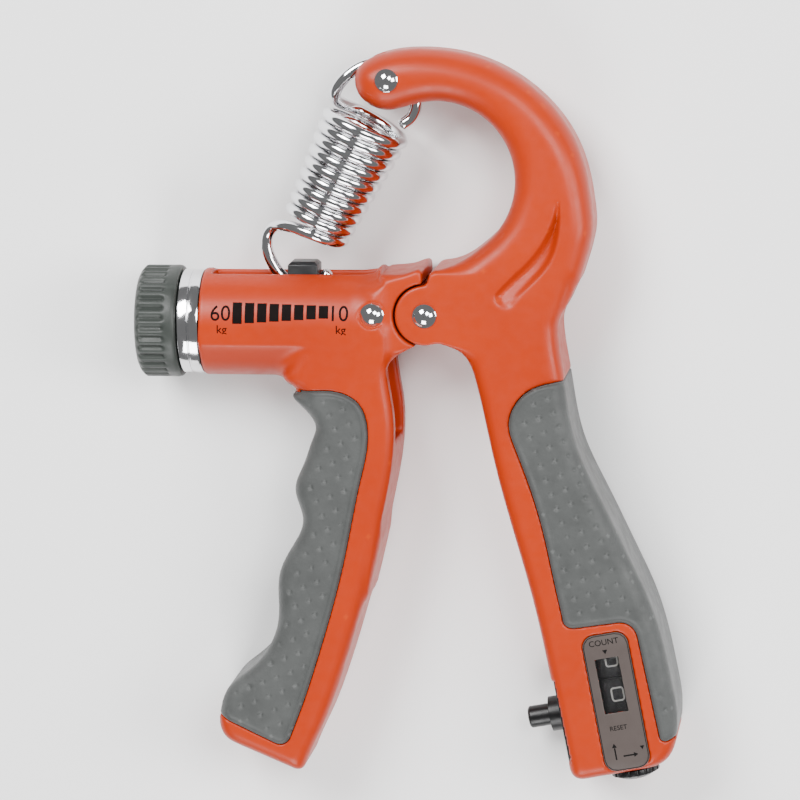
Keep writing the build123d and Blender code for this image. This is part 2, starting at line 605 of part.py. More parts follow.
def drum(middle):
    """A number drum with a recessed end and a bore for the reset shaft."""
    with BuildPart() as wheel:
        with BuildSketch(reel(middle - DRUM_WIDTH / 2)):
            Circle(DRUM_R)
            Circle(REEL_SHAFT_R + RUNNING, mode=Mode.SUBTRACT)
        extrude(amount=DRUM_WIDTH)
        with BuildSketch(reel(middle + DRUM_WIDTH / 2)):
            Circle(DRUM_R - 1.2)
            Circle(REEL_SHAFT_R + 1.2, mode=Mode.SUBTRACT)
        extrude(amount=-1.5, mode=Mode.SUBTRACT)
    return wheel


with BuildPart() as ones_drum:
    add(drum(ONES_U).part)
    # Ratchet that the pawl turns, one tooth for each squeeze.
    with BuildSketch(reel(ONES_U - DRUM_WIDTH / 2 - RATCHET_WIDTH)):
        Circle(RATCHET_R)
        with PolarLocations(RATCHET_R, 10):
            Rectangle(1.2, 1.0, rotation=35, mode=Mode.SUBTRACT)
        Circle(REEL_SHAFT_R + RUNNING, mode=Mode.SUBTRACT)
    extrude(amount=RATCHET_WIDTH)
save(ones_drum.part, "ones_drum")
save(drum(ONES_U + DRUM_PITCH).part, "tens_drum")

with BuildPart() as reset_shaft:
    with BuildSketch(reel(RESET_FACE)):
        Circle(REEL_SHAFT_R)
    extrude(amount=CASE_TOP - RESET_FACE)
save(reset_shaft.part, "reset_shaft")

with BuildPart() as reset_knob:
    with BuildSketch(reel(RESET_FACE - 2.1)):
        Circle(RESET_R)
    extrude(amount=2.1)
    chamfer(reset_knob.edges().filter_by(GeomType.CIRCLE).sort_by(Axis.Y)[0], length=1.0, length2=2.2)
    with BuildSketch(reel(RESET_FACE - 2.1)):
        with PolarLocations(RESET_R, 18):
            Circle(0.35)
    extrude(amount=2.1, mode=Mode.SUBTRACT)
save(reset_knob.part, "reset_knob")

with BuildPart() as counter_label:
    with BuildSketch(counter(HANDLE_HALF - LABEL_SEAT)):
        with Locations(LABEL_AT):
            RectangleRounded(LABEL[0], LABEL[1], 2.6)
        Rectangle(*WINDOW, mode=Mode.SUBTRACT)
    extrude(amount=LABEL_SEAT + 0.1)
save(counter_label.part, "counter_label")

with BuildPart() as counter_lens:
    with BuildSketch(counter(CASE_HIGH + FIT)):
        Rectangle(WINDOW[0] - 0.1, WINDOW[1] - 0.1)
    extrude(amount=0.8)
save(counter_lens.part, "counter_lens")

# ---- tension spring: a tapering coil with a loop over its pin and a hook under the bridge ----
coil_low = Vector(*COIL_LOW)
coil_axis = Vector(*COIL_TOP) - coil_low
coil_side = Vector(coil_axis.Y, -coil_axis.X).normalized()


def coil_point(turn):
    """Middle of the wire after that many turns up from the bottom of the coil."""
    share, angle = turn / COIL_TURNS, 2 * pi * turn
    radius = COIL_LOW_R + (COIL_TOP_R - COIL_LOW_R) * share
    return coil_low + coil_axis * share + coil_side * radius * cos(angle) - Vector(0, 0, radius * sin(angle))


# The coil starts a quarter of a turn early, where the wire comes off the hook.
hook = [(-22, 7.6, 0), (-23.9, 5.4, 0), (-27.3, 4.6, 0), (-31.4, 6.4, 0), (-33.6, 9.2, 0), (-35, 12.4, 0),
        (-35, 15.6, 0.2), (-33.2, 17.8, 1.4), (-29.8, 18.2, 4.2)]
coil = [coil_point(step / COIL_STEPS) for step in range(-COIL_STEPS // 4, int(COIL_TURNS * COIL_STEPS) + 1)]
loop = [(-19.6, 44.2, -3.2), (-20, 46.2, -0.7), (-18.4, 48.9, 0), (-15.3, 51.5, 0), (-11.8, 52.8, 0),
        (-8, 52.75, 0), (-4.6, 50.6, 0), (-2.9, 47.2, 0), (-2.6, 43.7, 0), (-3.5, 41.2, 0), (-5.4, 39.7, 0)]
with BuildPart() as tension_spring:
    with BuildLine():
        wire = Spline([Vector(*point) + at(0).origin for point in hook + coil + loop])
    with BuildSketch(Plane(origin=wire @ 0, z_dir=wire % 0)):
        Circle(WIRE_R)
    sweep(path=wire, is_frenet=True)
save(tension_spring.part, "tension_spring")
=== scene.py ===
import json
from math import acos, atan2, cos, pi, radians, sin, sqrt

import bmesh
import bpy
import numpy as np
import openvdb
from mathutils import Matrix, Vector


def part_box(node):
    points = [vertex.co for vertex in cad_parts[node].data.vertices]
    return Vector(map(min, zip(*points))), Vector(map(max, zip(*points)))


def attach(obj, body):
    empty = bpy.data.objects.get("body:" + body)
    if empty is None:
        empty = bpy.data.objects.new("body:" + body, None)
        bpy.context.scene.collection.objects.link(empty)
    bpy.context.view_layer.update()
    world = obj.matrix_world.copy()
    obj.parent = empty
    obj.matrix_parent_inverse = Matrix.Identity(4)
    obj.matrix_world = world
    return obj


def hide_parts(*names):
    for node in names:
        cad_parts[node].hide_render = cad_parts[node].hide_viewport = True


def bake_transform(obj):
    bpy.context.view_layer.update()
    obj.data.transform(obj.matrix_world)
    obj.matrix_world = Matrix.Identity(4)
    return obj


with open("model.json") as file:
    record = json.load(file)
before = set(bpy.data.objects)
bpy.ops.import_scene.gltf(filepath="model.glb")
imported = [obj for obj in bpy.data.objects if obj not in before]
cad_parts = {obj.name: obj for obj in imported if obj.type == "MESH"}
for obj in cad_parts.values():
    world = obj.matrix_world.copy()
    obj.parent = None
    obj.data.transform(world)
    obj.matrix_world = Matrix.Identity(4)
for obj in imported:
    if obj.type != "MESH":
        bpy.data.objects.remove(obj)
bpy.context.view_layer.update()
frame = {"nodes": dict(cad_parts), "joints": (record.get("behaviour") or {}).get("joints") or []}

# ---- places read from the frame, in millimetres ----
MM = 0.001
JOINT = {joint["name"]: joint for joint in frame["joints"]}
PIVOT = np.array(JOINT["handle_squeeze"]["pos_m"]) / MM
MID = PIVOT[2]
BARREL_Y = JOINT["knob_turn"]["pos_m"][1] / MM - PIVOT[1]
LEAN = atan2(JOINT["plunger_press"]["axis"][1], JOINT["plunger_press"]["axis"][0])


def middle(node):
    """Middle of a CAD node about the pivot, in millimetres."""
    low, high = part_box(node)
    return np.array((low + high) / 2) / MM - PIVOT


def reach(node):
    """Lowest and highest corner of a CAD node about the pivot, in millimetres."""
    low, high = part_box(node)
    return np.array(low) / MM - PIVOT, np.array(high) / MM - PIVOT


COUNTER = middle("counter_lens")
SPRING_PIN = middle("spring_pin")
BUSH_RIVET = middle("bush_rivet")

# ---- the object's own shapes, in millimetres ----
BODY_STEP = 0.42  # grid that the moulded bodies are shaped on
GRIP_STEP = 0.32
GRIP_HALF, HANDLE_HALF, HINGE_HALF = 12.1, 11.4, 10.4
THICKNESS = ((-110, 11.4), (-45, 11.4), (-24, 11.1), (0, 10.4), (16, 9.8), (44, 8.0), (60, 7.7))
EDGE_ROUND = ((-20, 3.0), (0, 3.4), (14, 4.6), (36, 5.6), (60, 5.6))
BARREL_R, BORE_R = 11.5, 8.8
BARREL_LEFT, BORE_RIGHT = -48.7, -15.0
SOCKET_R, FORK_HALF, TONGUE_HALF, TONGUE_R = 6.75, 4.15, 3.5, 6.3
CHEEK_CUT_R, RIVET_SEAT_R, RIVET_SEAT_Z = 6.7, 2.75, 10.6
SLOT_HALF, SLOT_LEFT, SLOT_RIGHT = 3.5, -46.6, -11.0
WINDOW, LABEL, LABEL_AT = (5.1, 12.1), (9.8, 30.0), (0.3, -3.7)
WIRE_R = 1.3


# ---- outlines and distance fields ----
def section(node, height):
    """Closed outlines where a level plane cuts a CAD node, about the pivot, largest first."""
    mesh = bmesh.new()
    mesh.from_mesh(frame["nodes"][node].data)
    bmesh.ops.remove_doubles(mesh, verts=mesh.verts, dist=1e-6)
    everything = mesh.verts[:] + mesh.edges[:] + mesh.faces[:]
    cut = bmesh.ops.bisect_plane(mesh, geom=everything, plane_co=(0, 0, (MID + height) * MM),
                                 plane_no=(0, 0, 1), clear_inner=True, clear_outer=True)
    next_to = {}
    for edge in cut["geom_cut"]:
        if isinstance(edge, bmesh.types.BMEdge):
            a, b = edge.verts
            next_to.setdefault(a, []).append(b)
            next_to.setdefault(b, []).append(a)
    loops = []
    while next_to:
        start = vertex = next(iter(next_to))
        loop = []
        while vertex is not None:
            loop.append((vertex.co.x / MM - PIVOT[0], vertex.co.y / MM - PIVOT[1]))
            following = [v for v in next_to.pop(vertex) if v in next_to]
            vertex = following[0] if following else None
        if len(loop) > 2:
            loops.append(np.array(loop))
    mesh.free()
    return sorted(loops, key=lambda loop: -abs(area(loop)))


def area(loop):
    x, y = loop[:, 0], loop[:, 1]
    return 0.5 * float(np.sum(x * np.roll(y, -1) - y * np.roll(x, -1)))


def within(loop, points):
    """Which points lie inside a closed outline."""
    a = loop[None]
    b = np.roll(a, -1, 1)
    p = points[:, None]
    above = (a[..., 1] > p[..., 1]) != (b[..., 1] > p[..., 1])
    rise = np.where(b[..., 1] == a[..., 1], 1e-9, b[..., 1] - a[..., 1])
    crossing = p[..., 0] < (b[..., 0] - a[..., 0]) * (p[..., 1] - a[..., 1]) / rise + a[..., 0]
    return (above & crossing).sum(1) % 2 == 1


def rim(loops):
    """The sides of some outlines that are on the rim of their union."""
    sides = []
    for loop in loops:
        a, b = loop, np.roll(loop, -1, 0)
        run = b - a
        out = np.stack((run[:, 1], -run[:, 0]), 1) * (1 if area(loop) > 0 else -1)
        beyond = (a + b) / 2 + 0.12 * out / np.maximum(np.linalg.norm(out, axis=1)[:, None], 1e-9)
        kept = np.ones(len(a), bool)
        for other in loops:
            if other is not loop:
                kept &= ~within(other, beyond)
        sides.append(np.concatenate((a[kept], b[kept]), 1))
    return np.concatenate(sides)


def distance(loops, x, y):
    """Distance from each point to the rim of some outlines' union, negative inside it."""
    points = np.stack((x.ravel(), y.ravel()), 1).astype(np.float32)
    sides = rim(loops).astype(np.float32)
    a, run = sides[:, :2], sides[:, 2:] - sides[:, :2]
    length = np.maximum((run ** 2).sum(1), 1e-9)
    out = np.empty(len(points), np.float32)
    for first in range(0, len(points), 3000):
        p = points[first:first + 3000]
        gap = p[:, None] - a
        t = np.clip((gap * run).sum(2) / length, 0, 1)
        gap -= t[..., None] * run
        nearest = np.sqrt((gap ** 2).sum(2).min(1))
        inside = np.zeros(len(p), bool)
        for loop in loops:
            inside |= within(loop.astype(np.float32), p)
        out[first:first + 3000] = np.where(inside, -nearest, nearest)
    return out.reshape(x.shape)


def step(value, low, high):
    """0 below low, 1 above high, and smooth between them."""
    t = np.clip((value - low) / (high - low), 0, 1)
    return t * t * (3 - 2 * t)


def along(value, pairs):
    return np.interp(value, [p[0] for p in pairs], [p[1] for p in pairs])


def join(a, b, soft):
    """The union of two fields with a fillet of about that radius where they meet."""
    h = np.clip(0.5 + 0.5 * (b - a) / soft, 0, 1)
    return b + (a - b) * h - soft * h * (1 - h)


def carve(a, b, soft=0.4):
    """Field a without b, with a small rounding on the new edge."""
    return -join(-a, b, soft)


def slab(flat, z, half, round_edge):
    """An outline's field thickened to half each way, with its edges rounded."""
    side = flat + round_edge
    face = np.abs(z) - half + round_edge
    outside = np.hypot(np.maximum(side, 0), np.maximum(face, 0))
    return np.minimum(np.maximum(side, face), 0) + outside - round_edge


def plate(x, y, width, height, corner):
    """Field of a rectangle with round corners, centred on the origin."""
    dx = np.abs(x) - width / 2 + corner
    dy = np.abs(y) - height / 2 + corner
    return np.minimum(np.maximum(dx, dy), 0) + np.hypot(np.maximum(dx, 0), np.maximum(dy, 0)) - corner


def block(x, y, z, low, high):
    """Field of a box between two corners."""
    gaps = [np.abs(v - (a + b) / 2) - (b - a) / 2 for v, a, b in zip((x, y, z), low, high)]
    return np.maximum(np.maximum(gaps[0], gaps[1]), gaps[2])


class Grid:
    """Points about the pivot that a body's field is worked out on."""

    def __init__(self, low, high, pitch):
        self.pitch = pitch
        self.low = np.array(low, float) - 3 * pitch
        count = np.ceil((np.array(high, float) + 3 * pitch - self.low) / pitch).astype(int)
        axes = [self.low[i] + pitch * np.arange(count[i]) for i in range(3)]
        self.flat_x, self.flat_y = np.meshgrid(axes[0], axes[1], indexing="ij")
        self.x = self.flat_x[..., None].astype(np.float32)
        self.y = self.flat_y[..., None].astype(np.float32)
        self.z = axes[2][None, None, :].astype(np.float32)
        lean_x = self.x - COUNTER[0]
        lean_y = self.y - COUNTER[1]
        self.v = lean_x * cos(LEAN) + lean_y * sin(LEAN)
        self.u = lean_y * cos(LEAN) - lean_x * sin(LEAN)

    def outline(self, *loops):
        return distance(loops, self.flat_x, self.flat_y)[..., None]

    def soft_outline(self, *loops):
        """An outline's field averaged over about 2 mm, so that its corners leave no crease."""
        field = self.outline(*loops)
        reach_cells = round(0.95 / self.pitch)
        shifts = range(-reach_cells, reach_cells + 1)
        for axis in (0, 1):
            field = sum(np.roll(field, shift, axis) for shift in shifts) / len(shifts)
        return field

    def mesh(self, name, field):
        """The field's zero surface as a Blender object."""
        field = np.broadcast_to(field, (*self.flat_x.shape, self.z.shape[2]))
        grid = openvdb.FloatGrid()
        grid.copyFromArray(np.array(field, np.float32, order="C"))
        points, quads = grid.convertToQuads(0.0)
        points = (points * self.pitch + self.low + PIVOT) * MM
        return solid(name, points, quads[:, ::-1])


def solid(name, points, faces, smooth=True):
    """A mesh object from points in metres."""
    mesh = bpy.data.meshes.new(name)
    mesh.from_pydata([tuple(p) for p in points], [], [tuple(int(i) for i in f) for f in faces])
    mesh.update()
    obj = bpy.data.objects.new(name, mesh)
    bpy.context.scene.collection.objects.link(obj)
    if smooth:
        mesh.shade_smooth()
    return obj


def keep(obj, body, slot, material, *nodes):
    """Put a finished piece on its body in place of its CAD nodes."""
    obj.data.materials.clear()
    obj.data.materials.append(material)
    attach(obj, body)
    if nodes:
        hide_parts(*nodes)
    return obj


# ---- materials ----
def colour(red, green, blue):
    """An sRGB colour from 0 to 255 as the linear colour that shaders take."""
    def linear(value):
        value /= 255
        return value / 12.92 if value <= 0.04045 else ((value + 0.055) / 1.055) ** 2.4
    return (linear(red), linear(green), linear(blue), 1)


class Finish:
    """A procedural material being put together."""

    def __init__(self, name, base, roughness, metallic=0.0, coat=0.0, coat_roughness=0.1, ior=1.45):
        self.material = bpy.data.materials.new(name)
        self.material.use_nodes = True
        self.nodes = self.material.node_tree.nodes
        self.links = self.material.node_tree.links
        self.shader = self.nodes["Principled BSDF"]
        self.set("Base Color", base)
        self.set("Roughness", roughness)
        self.set("Metallic", metallic)
        self.set("Coat Weight", coat)
        self.set("Coat Roughness", coat_roughness)
        self.set("IOR", ior)
        self.base = base
        self.place = self.nodes.new("ShaderNodeTexCoord").outputs["Object"]
        self.height = None

    def set(self, name, value):
        self.shader.inputs[name].default_value = value

    def noise(self, scale, detail=3.0, rough=0.55):
        node = self.nodes.new("ShaderNodeTexNoise")
        node.inputs["Scale"].default_value = scale
        node.inputs["Detail"].default_value = detail
        node.inputs["Roughness"].default_value = rough
        self.links.new(self.place, node.inputs["Vector"])
        return node.outputs["Fac"]

    def spots(self, scale, randomness=1.0):
        node = self.nodes.new("ShaderNodeTexVoronoi")
        node.inputs["Scale"].default_value = scale
        node.inputs["Randomness"].default_value = randomness
        self.links.new(self.place, node.inputs["Vector"])
        return node.outputs["Distance"]

    def spread(self, value, low, high, out_low, out_high):
        node = self.nodes.new("ShaderNodeMapRange")
        self.links.new(value, node.inputs["Value"])
        names = ("From Min", "From Max", "To Min", "To Max")
        for name, number in zip(names, (low, high, out_low, out_high)):
            node.inputs[name].default_value = number
        return node.outputs["Result"]

    def mix(self, value, first, second):
        """A colour between two others, chosen by a value from 0 to 1."""
        node = self.nodes.new("ShaderNodeMix")
        node.data_type = "RGBA"
        self.links.new(value, node.inputs["Factor"])
        for socket, tint in (("A", first), ("B", second)):
            target = [i for i in node.inputs if i.name == socket and i.type == "RGBA"][0]
            if isinstance(tint, tuple):
                target.default_value = tint
            else:
                self.links.new(tint, target)
        return [o for o in node.outputs if o.type == "RGBA"][0]

    def edges(self):
        """How convex the surface is, for painted highlights on edges and painted shade in hollows."""
        return self.nodes.new("ShaderNodeNewGeometry").outputs["Pointiness"]

    def bump(self, value, strength, depth):
        node = self.nodes.new("ShaderNodeBump")
        node.inputs["Strength"].default_value = strength
        node.inputs["Distance"].default_value = depth
        self.links.new(value, node.inputs["Height"])
        if self.height is not None:
            self.links.new(self.height, node.inputs["Normal"])
        self.height = node.outputs["Normal"]
        self.links.new(self.height, self.shader.inputs["Normal"])
        return self

    def colour_from(self, socket):
        self.links.new(socket, self.shader.inputs["Base Color"])
        return self

    def roughness_from(self, socket):
        self.links.new(socket, self.shader.inputs["Roughness"])
        return self


def shell_finish():
    """Satin orange moulded plastic with a faint orange-peel skin, flow marks and a painted highlight on its
    convex edges.
    """
    finish = Finish("orange_plastic", colour(158, 41, 0), 0.4, coat=0.06, coat_roughness=0.22)
    finish.set("Specular IOR Level", 0.28)
    clouds = finish.spread(finish.noise(35, 4), 0.3, 0.7, 0, 1)
    body = finish.mix(clouds, colour(154, 39, 0), colour(162, 43, 0))
    # Painted highlight: convex edges (high pointiness) are mixed towards a lighter orange.
    painted_edge_highlight = finish.spread(finish.edges(), 0.5, 0.62, 0, 0.55)
    finish.colour_from(finish.mix(painted_edge_highlight, body, colour(174, 56, 2)))
    finish.roughness_from(finish.spread(finish.noise(420, 2), 0.3, 0.7, 0.36, 0.46))
    finish.bump(finish.noise(1600, 2), 0.10, 0.0001)
    return finish.bump(finish.noise(90, 2), 0.05, 0.0004).material


def grip_finish():
    """Soft grey thermoplastic rubber, finely stippled and a little mottled, with painted highlights on its
    edges and painted shade in its pits and hollows.
    """
    finish = Finish("grey_rubber", colour(52, 54, 53), 0.62, ior=1.5)
    finish.set("Sheen Weight", 0.15)
    finish.set("Sheen Roughness", 0.5)
    clouds = finish.spread(finish.noise(160, 5, 0.65), 0.32, 0.68, 0, 1)
    body = finish.mix(clouds, colour(46, 48, 47), colour(58, 60, 59))
    # Painted highlight: convex edges are mixed towards a lighter grey.
    painted_edge_highlight = finish.spread(finish.edges(), 0.51, 0.60, 0, 0.6)
    body = finish.mix(painted_edge_highlight, body, colour(82, 84, 83))
    # Painted shade: concave spots, the pits and other hollows, are darkened towards a near-black grey.
    pits = finish.spread(finish.edges(), 0.40, 0.485, 0.75, 0)
    finish.colour_from(finish.mix(pits, body, colour(30, 31, 31)))
    finish.roughness_from(finish.spread(finish.noise(300, 3), 0.3, 0.7, 0.52, 0.70))
    finish.bump(finish.spots(1500), 0.25, 0.0001)
    return finish.bump(finish.noise(520, 4, 0.7), 0.35, 0.00025).material


def chrome_finish():
    """Polished chrome with faint fine scratches."""
    finish = Finish("chrome", colour(226, 226, 228), 0.07, metallic=1.0)
    finish.roughness_from(finish.spread(finish.noise(260, 5, 0.7), 0.35, 0.75, 0.045, 0.15))
    return finish.bump(finish.noise(900, 3), 0.03, 0.0001).material


def steel_finish():
    """Plain turned steel with a light machined grain."""
    finish = Finish("turned_steel", colour(172, 173, 175), 0.3, metallic=1.0)
    finish.roughness_from(finish.spread(finish.noise(500, 4), 0.3, 0.7, 0.22, 0.4))
    return finish.bump(finish.noise(1400, 2), 0.06, 0.0001).material


def brass_finish():
    finish = Finish("turned_brass", colour(196, 160, 96), 0.3, metallic=1.0)
    finish.roughness_from(finish.spread(finish.noise(500, 4), 0.3, 0.7, 0.24, 0.42))
    return finish.bump(finish.noise(1400, 2), 0.06, 0.0001).material


def plastic_finish(name, dark, light, low_rough, high_rough, edge, gloss=0.35):
    """Moulded plastic with a fine spark-eroded skin and a painted highlight on its convex edges."""
    finish = Finish(name, dark, (low_rough + high_rough) / 2, ior=1.47)
    finish.set("Specular IOR Level", gloss)
    clouds = finish.spread(finish.noise(120, 4), 0.3, 0.7, 0, 1)
    # Painted highlight: convex edges are mixed towards the lighter edge colour.
    painted_edge_highlight = finish.spread(finish.edges(), 0.52, 0.64, 0, 0.7)
    finish.colour_from(finish.mix(painted_edge_highlight, finish.mix(clouds, dark, light), edge))
    finish.roughness_from(finish.spread(finish.noise(380, 3), 0.3, 0.7, low_rough, high_rough))
    return finish.bump(finish.noise(1900, 2), 0.16, 0.0001).material


def lens_finish():
    finish = Finish("clear_lens", (1, 1, 1, 1), 0.04, ior=1.49)
    finish.set("Transmission Weight", 1.0)
    finish.roughness_from(finish.spread(finish.noise(300, 3), 0.3, 0.7, 0.02, 0.08))
    return finish.material


SHELL = shell_finish()
GRIP = grip_finish()
CHROME = chrome_finish()
STEEL = steel_finish()
BRASS = brass_finish()
# The last colour given to each plastic_finish is its painted edge highlight.
BLACK = plastic_finish("black_plastic", colour(9, 9, 10), colour(13, 13, 14), 0.3, 0.42,
                       colour(34, 34, 36))
KNOB = plastic_finish("grey_knob", colour(43, 47, 44), colour(49, 53, 50), 0.38, 0.5, colour(54, 58, 55))
DRUM = plastic_finish("drum_plastic", colour(14, 14, 17), colour(18, 18, 21), 0.4, 0.5,
                      colour(36, 36, 38))
PLATE = plastic_finish("label_plate", colour(62, 54, 51), colour(67, 59, 56), 0.45, 0.55,
                       colour(90, 82, 78))
PRINT = plastic_finish("dark_print", colour(9, 3, 2), colour(12, 4, 3), 0.6, 0.7, colour(14, 5, 4), 0.08)
DIGIT = plastic_finish("digit_paint", colour(150, 148, 145), colour(160, 158, 154), 0.5, 0.6,
                       colour(170, 168, 164))
INK = plastic_finish("black_ink", colour(10, 9, 9), colour(14, 13, 13), 0.6, 0.7, colour(18, 17, 17), 0.1)
LENS = lens_finish()


# ---- outlines that the moulded bodies share ----
PALM = section("palm_grip", 11)[0]
FINGER = section("finger_grip", 11)[0]
NOTCH = np.array(((-19.9, -21.0), (-29.3, -17.35), (-29.3, -16.8), (-27.2, -16.5), (-19.9, -19.2)))
FINGER = FINGER[~within(NOTCH, FINGER)]  # the soft grip fills the narrow notch under the barrel
FRAME = section("hook_frame", 7)[0]
PALM_SIDE = section("hook_frame", 10.6)[0]
TEAR = [loop for loop in section("hook_frame", 9.2)
        if 14 < loop[:, 0].mean() < 30 and 0 < loop[:, 1].mean() < 26][0]
HANDLE = section("left_handle", 10.8)[0]
KNUCKLE = section("left_handle", 9)[0]


def grip_surface(grid, profile, zone, loop):
    """A soft grip: thick rounded rubber with a raised lip round its edge and rows of small pits."""
    tilt = atan2(loop[:, 1].max() - loop[:, 1].min(), loop[:, 0].max() - loop[:, 0].min())
    inner = -np.maximum(zone, profile)
    lip = np.exp(-((inner - 0.75) / 0.4) ** 2) * step(-profile, 1.5, 3.0)
    rows_x = (grid.x * sin(tilt) - grid.y * cos(tilt)) / 2.3
    rows_y = (grid.x * cos(tilt) + grid.y * sin(tilt)) / 4.6
    shift = 0.5 * (np.floor(rows_x) % 2)
    pit = np.hypot((rows_x - np.floor(rows_x) - 0.5) * 2.3,
                   (rows_y + shift - np.floor(rows_y + shift) - 0.5) * 4.6)
    pits = (1 - step(pit, 0.25, 0.62)) * step(inner, 1.6, 2.4)
    half = GRIP_HALF - 0.3 + 0.3 * lip - 0.42 * pits
    body = slab(profile, grid.z, half, 3.6)
    return -join(-body, -zone, 0.35)


def hook_frame_body():
    """The hook, the fork's cheeks and the counter handle."""
    low, high = reach("hook_frame")
    grid = Grid(low, high, BODY_STEP)
    palm = grid.outline(PALM)
    profile = grid.soft_outline(FRAME, PALM_SIDE, PALM)
    from_pivot = np.hypot(grid.x, grid.y)
    half = along(grid.y, THICKNESS)
    across_tear = (np.hypot(grid.x - 4, grid.y - 30) - 25.9) / 4.2
    half = half - 2.6 * step(-grid.outline(TEAR), -0.5, 1.1) * (1 - 0.8 * np.clip(across_tear, 0, 1))
    rounding = along(grid.y, EDGE_ROUND)
    rounding = 0.45 + (rounding - 0.45) * step(from_pivot, 7.5, 15)
    field = slab(profile, grid.z, half, rounding)
    field = carve(field, palm - 0.12, 0.25)
    fork = slab(from_pivot - CHEEK_CUT_R, grid.z, FORK_HALF + 0.05, 0.1)
    field = carve(field, fork, 0.2)
    nose = block(grid.x, grid.y, grid.z, (-24, 38, -1.9), (-1, SPRING_PIN[1] + 5, 1.9))
    field = carve(field, nose, 0.8)
    seat = slab(plate(grid.v - LABEL_AT[0], grid.u - LABEL_AT[1], LABEL[0] + 0.3, LABEL[1] + 0.3, 2.7),
                grid.z - 13, 13 - HANDLE_HALF + 0.6, 0.1)
    field = carve(field, seat, 0.2)
    window = block(grid.v, grid.u, grid.z, (-WINDOW[0] / 2, -WINDOW[1] / 2, 6),
                   (WINDOW[0] / 2, WINDOW[1] / 2, 14))
    pocket = block(grid.v, grid.u, grid.z, (-8.6, -15.6, -8.8), (8.4, 10.8, 10.2))
    mouth = block(grid.v, grid.u, grid.z, (-16, -15.6, -8.8), (-8, 2.6, 10.2))
    low_plate, high_plate = plate_reach()
    seat_side = block(grid.v, grid.u, grid.z, (-18, low_plate[1], low_plate[2]), high_plate)
    for hollow in (window, pocket, mouth, seat_side):
        field = np.maximum(field, -hollow)
    return grid.mesh("hook_frame_moulding", field)


def plate_reach():
    """The side plate's seat in the counter's own directions."""
    height = reach("side_plate")
    return (-14, -18.1, height[0][2] - 0.05), (-11.7, 1.1, height[1][2] + 0.05)


def left_handle_body():
    """The barrel, the knuckle with its tongue, and the finger handle."""
    low, high = reach("left_handle")
    grid = Grid((low[0], low[1], -12.2), (high[0], high[1], 12.2), BODY_STEP)
    finger = grid.outline(FINGER)
    handle = grid.soft_outline(HANDLE, FINGER)
    outline = grid.outline(KNUCKLE)
    from_pivot = np.hypot(grid.x, grid.y)
    radial = np.hypot(grid.y - BARREL_Y, grid.z)
    barrel = np.maximum(radial - BARREL_R, np.maximum(BARREL_LEFT - grid.x, grid.x + 10.5))
    legs = slab(np.maximum(handle, grid.y + 4), grid.z, HANDLE_HALF, 3.0)
    knuckle_line = np.maximum(outline, -12.5 - grid.x)
    rounding = 0.4 + 2.8 * step(from_pivot, 8, 13)
    knuckle = slab(knuckle_line, grid.z, HINGE_HALF, rounding)
    field = join(join(barrel, knuckle, 4.0), legs, 3.0)
    field = np.maximum(field, np.abs(grid.z) - HANDLE_HALF - 0.1)
    field = np.where(grid.x > -10, np.maximum(field, outline - 0.05), field)
    field = carve(field, grid.x - BARREL_LEFT, 0.8)
    tongue = slab(from_pivot - TONGUE_R, grid.z, TONGUE_HALF, 0.2)
    bridge = block(grid.x, grid.y, grid.z, (-8, -5.5, -TONGUE_HALF), (-3, 5.5, TONGUE_HALF))
    socket = slab(from_pivot - SOCKET_R, np.abs(grid.z) - 12, 12 - FORK_HALF + 0.1, 0.1)
    field = carve(field, socket, 0.35)
    field = np.minimum(field, np.minimum(tongue, bridge))
    field = carve(field, finger - 0.12, 0.25)
    from_rivet = np.hypot(grid.x - BUSH_RIVET[0], grid.y - BUSH_RIVET[1])
    rivet_seat = slab(from_rivet - RIVET_SEAT_R, np.abs(grid.z) - 13, 13 - RIVET_SEAT_Z, 0.1)
    field = carve(field, rivet_seat, 0.2)
    bore = np.maximum(radial - BORE_R, grid.x - BORE_RIGHT)
    field = np.maximum(field, -bore)
    past_slot = np.abs(grid.x - (SLOT_LEFT + SLOT_RIGHT) / 2) - (SLOT_RIGHT - SLOT_LEFT) / 2
    slot = slab(np.maximum(past_slot + 1.2, 0) - 1.2, grid.z, SLOT_HALF, 0.6)
    slot = np.maximum(slot, BARREL_Y + 4.5 - grid.y)
    field = carve(field, slot, 0.5)
    hollow = slab(np.maximum(np.abs(grid.y + 19) - 9, np.abs(grid.x + 8) - 3), grid.z, 6.5, 1.2)
    field = carve(field, hollow, 0.8)
    return grid.mesh("left_handle_moulding", field)


def grips():
    """Both soft grips."""
    low, high = reach("palm_grip")
    grid = Grid(low, high, GRIP_STEP)
    palm = grid.outline(PALM)
    profile = grid.soft_outline(FRAME, PALM_SIDE, PALM)
    piece = grid.mesh("palm_grip_rubber", grip_surface(grid, profile, palm, PALM))
    keep(piece, "hook_frame", "grip", GRIP, "palm_grip")
    low, high = reach("finger_grip")
    grid = Grid(low, high, GRIP_STEP)
    finger = grid.outline(FINGER)
    profile = grid.soft_outline(HANDLE, FINGER)
    piece = grid.mesh("finger_grip_rubber", grip_surface(grid, profile, finger, FINGER))
    keep(piece, "left_handle", "grip", GRIP, "finger_grip")


keep(hook_frame_body(), "hook_frame", "shell", SHELL, "hook_frame")
keep(left_handle_body(), "left_handle", "shell", SHELL, "left_handle")
grips()


# ---- turned, swept and printed pieces ----
def row(point):
    """A point about the pivot, in millimetres, as a place in the row frame in metres."""
    return (np.array(point, float) + PIVOT) * MM


def counter_place(v, u, z):
    """A point in the counter's own directions as a point about the pivot."""
    return (COUNTER[0] + v * cos(LEAN) - u * sin(LEAN), COUNTER[1] + v * sin(LEAN) + u * cos(LEAN), z)


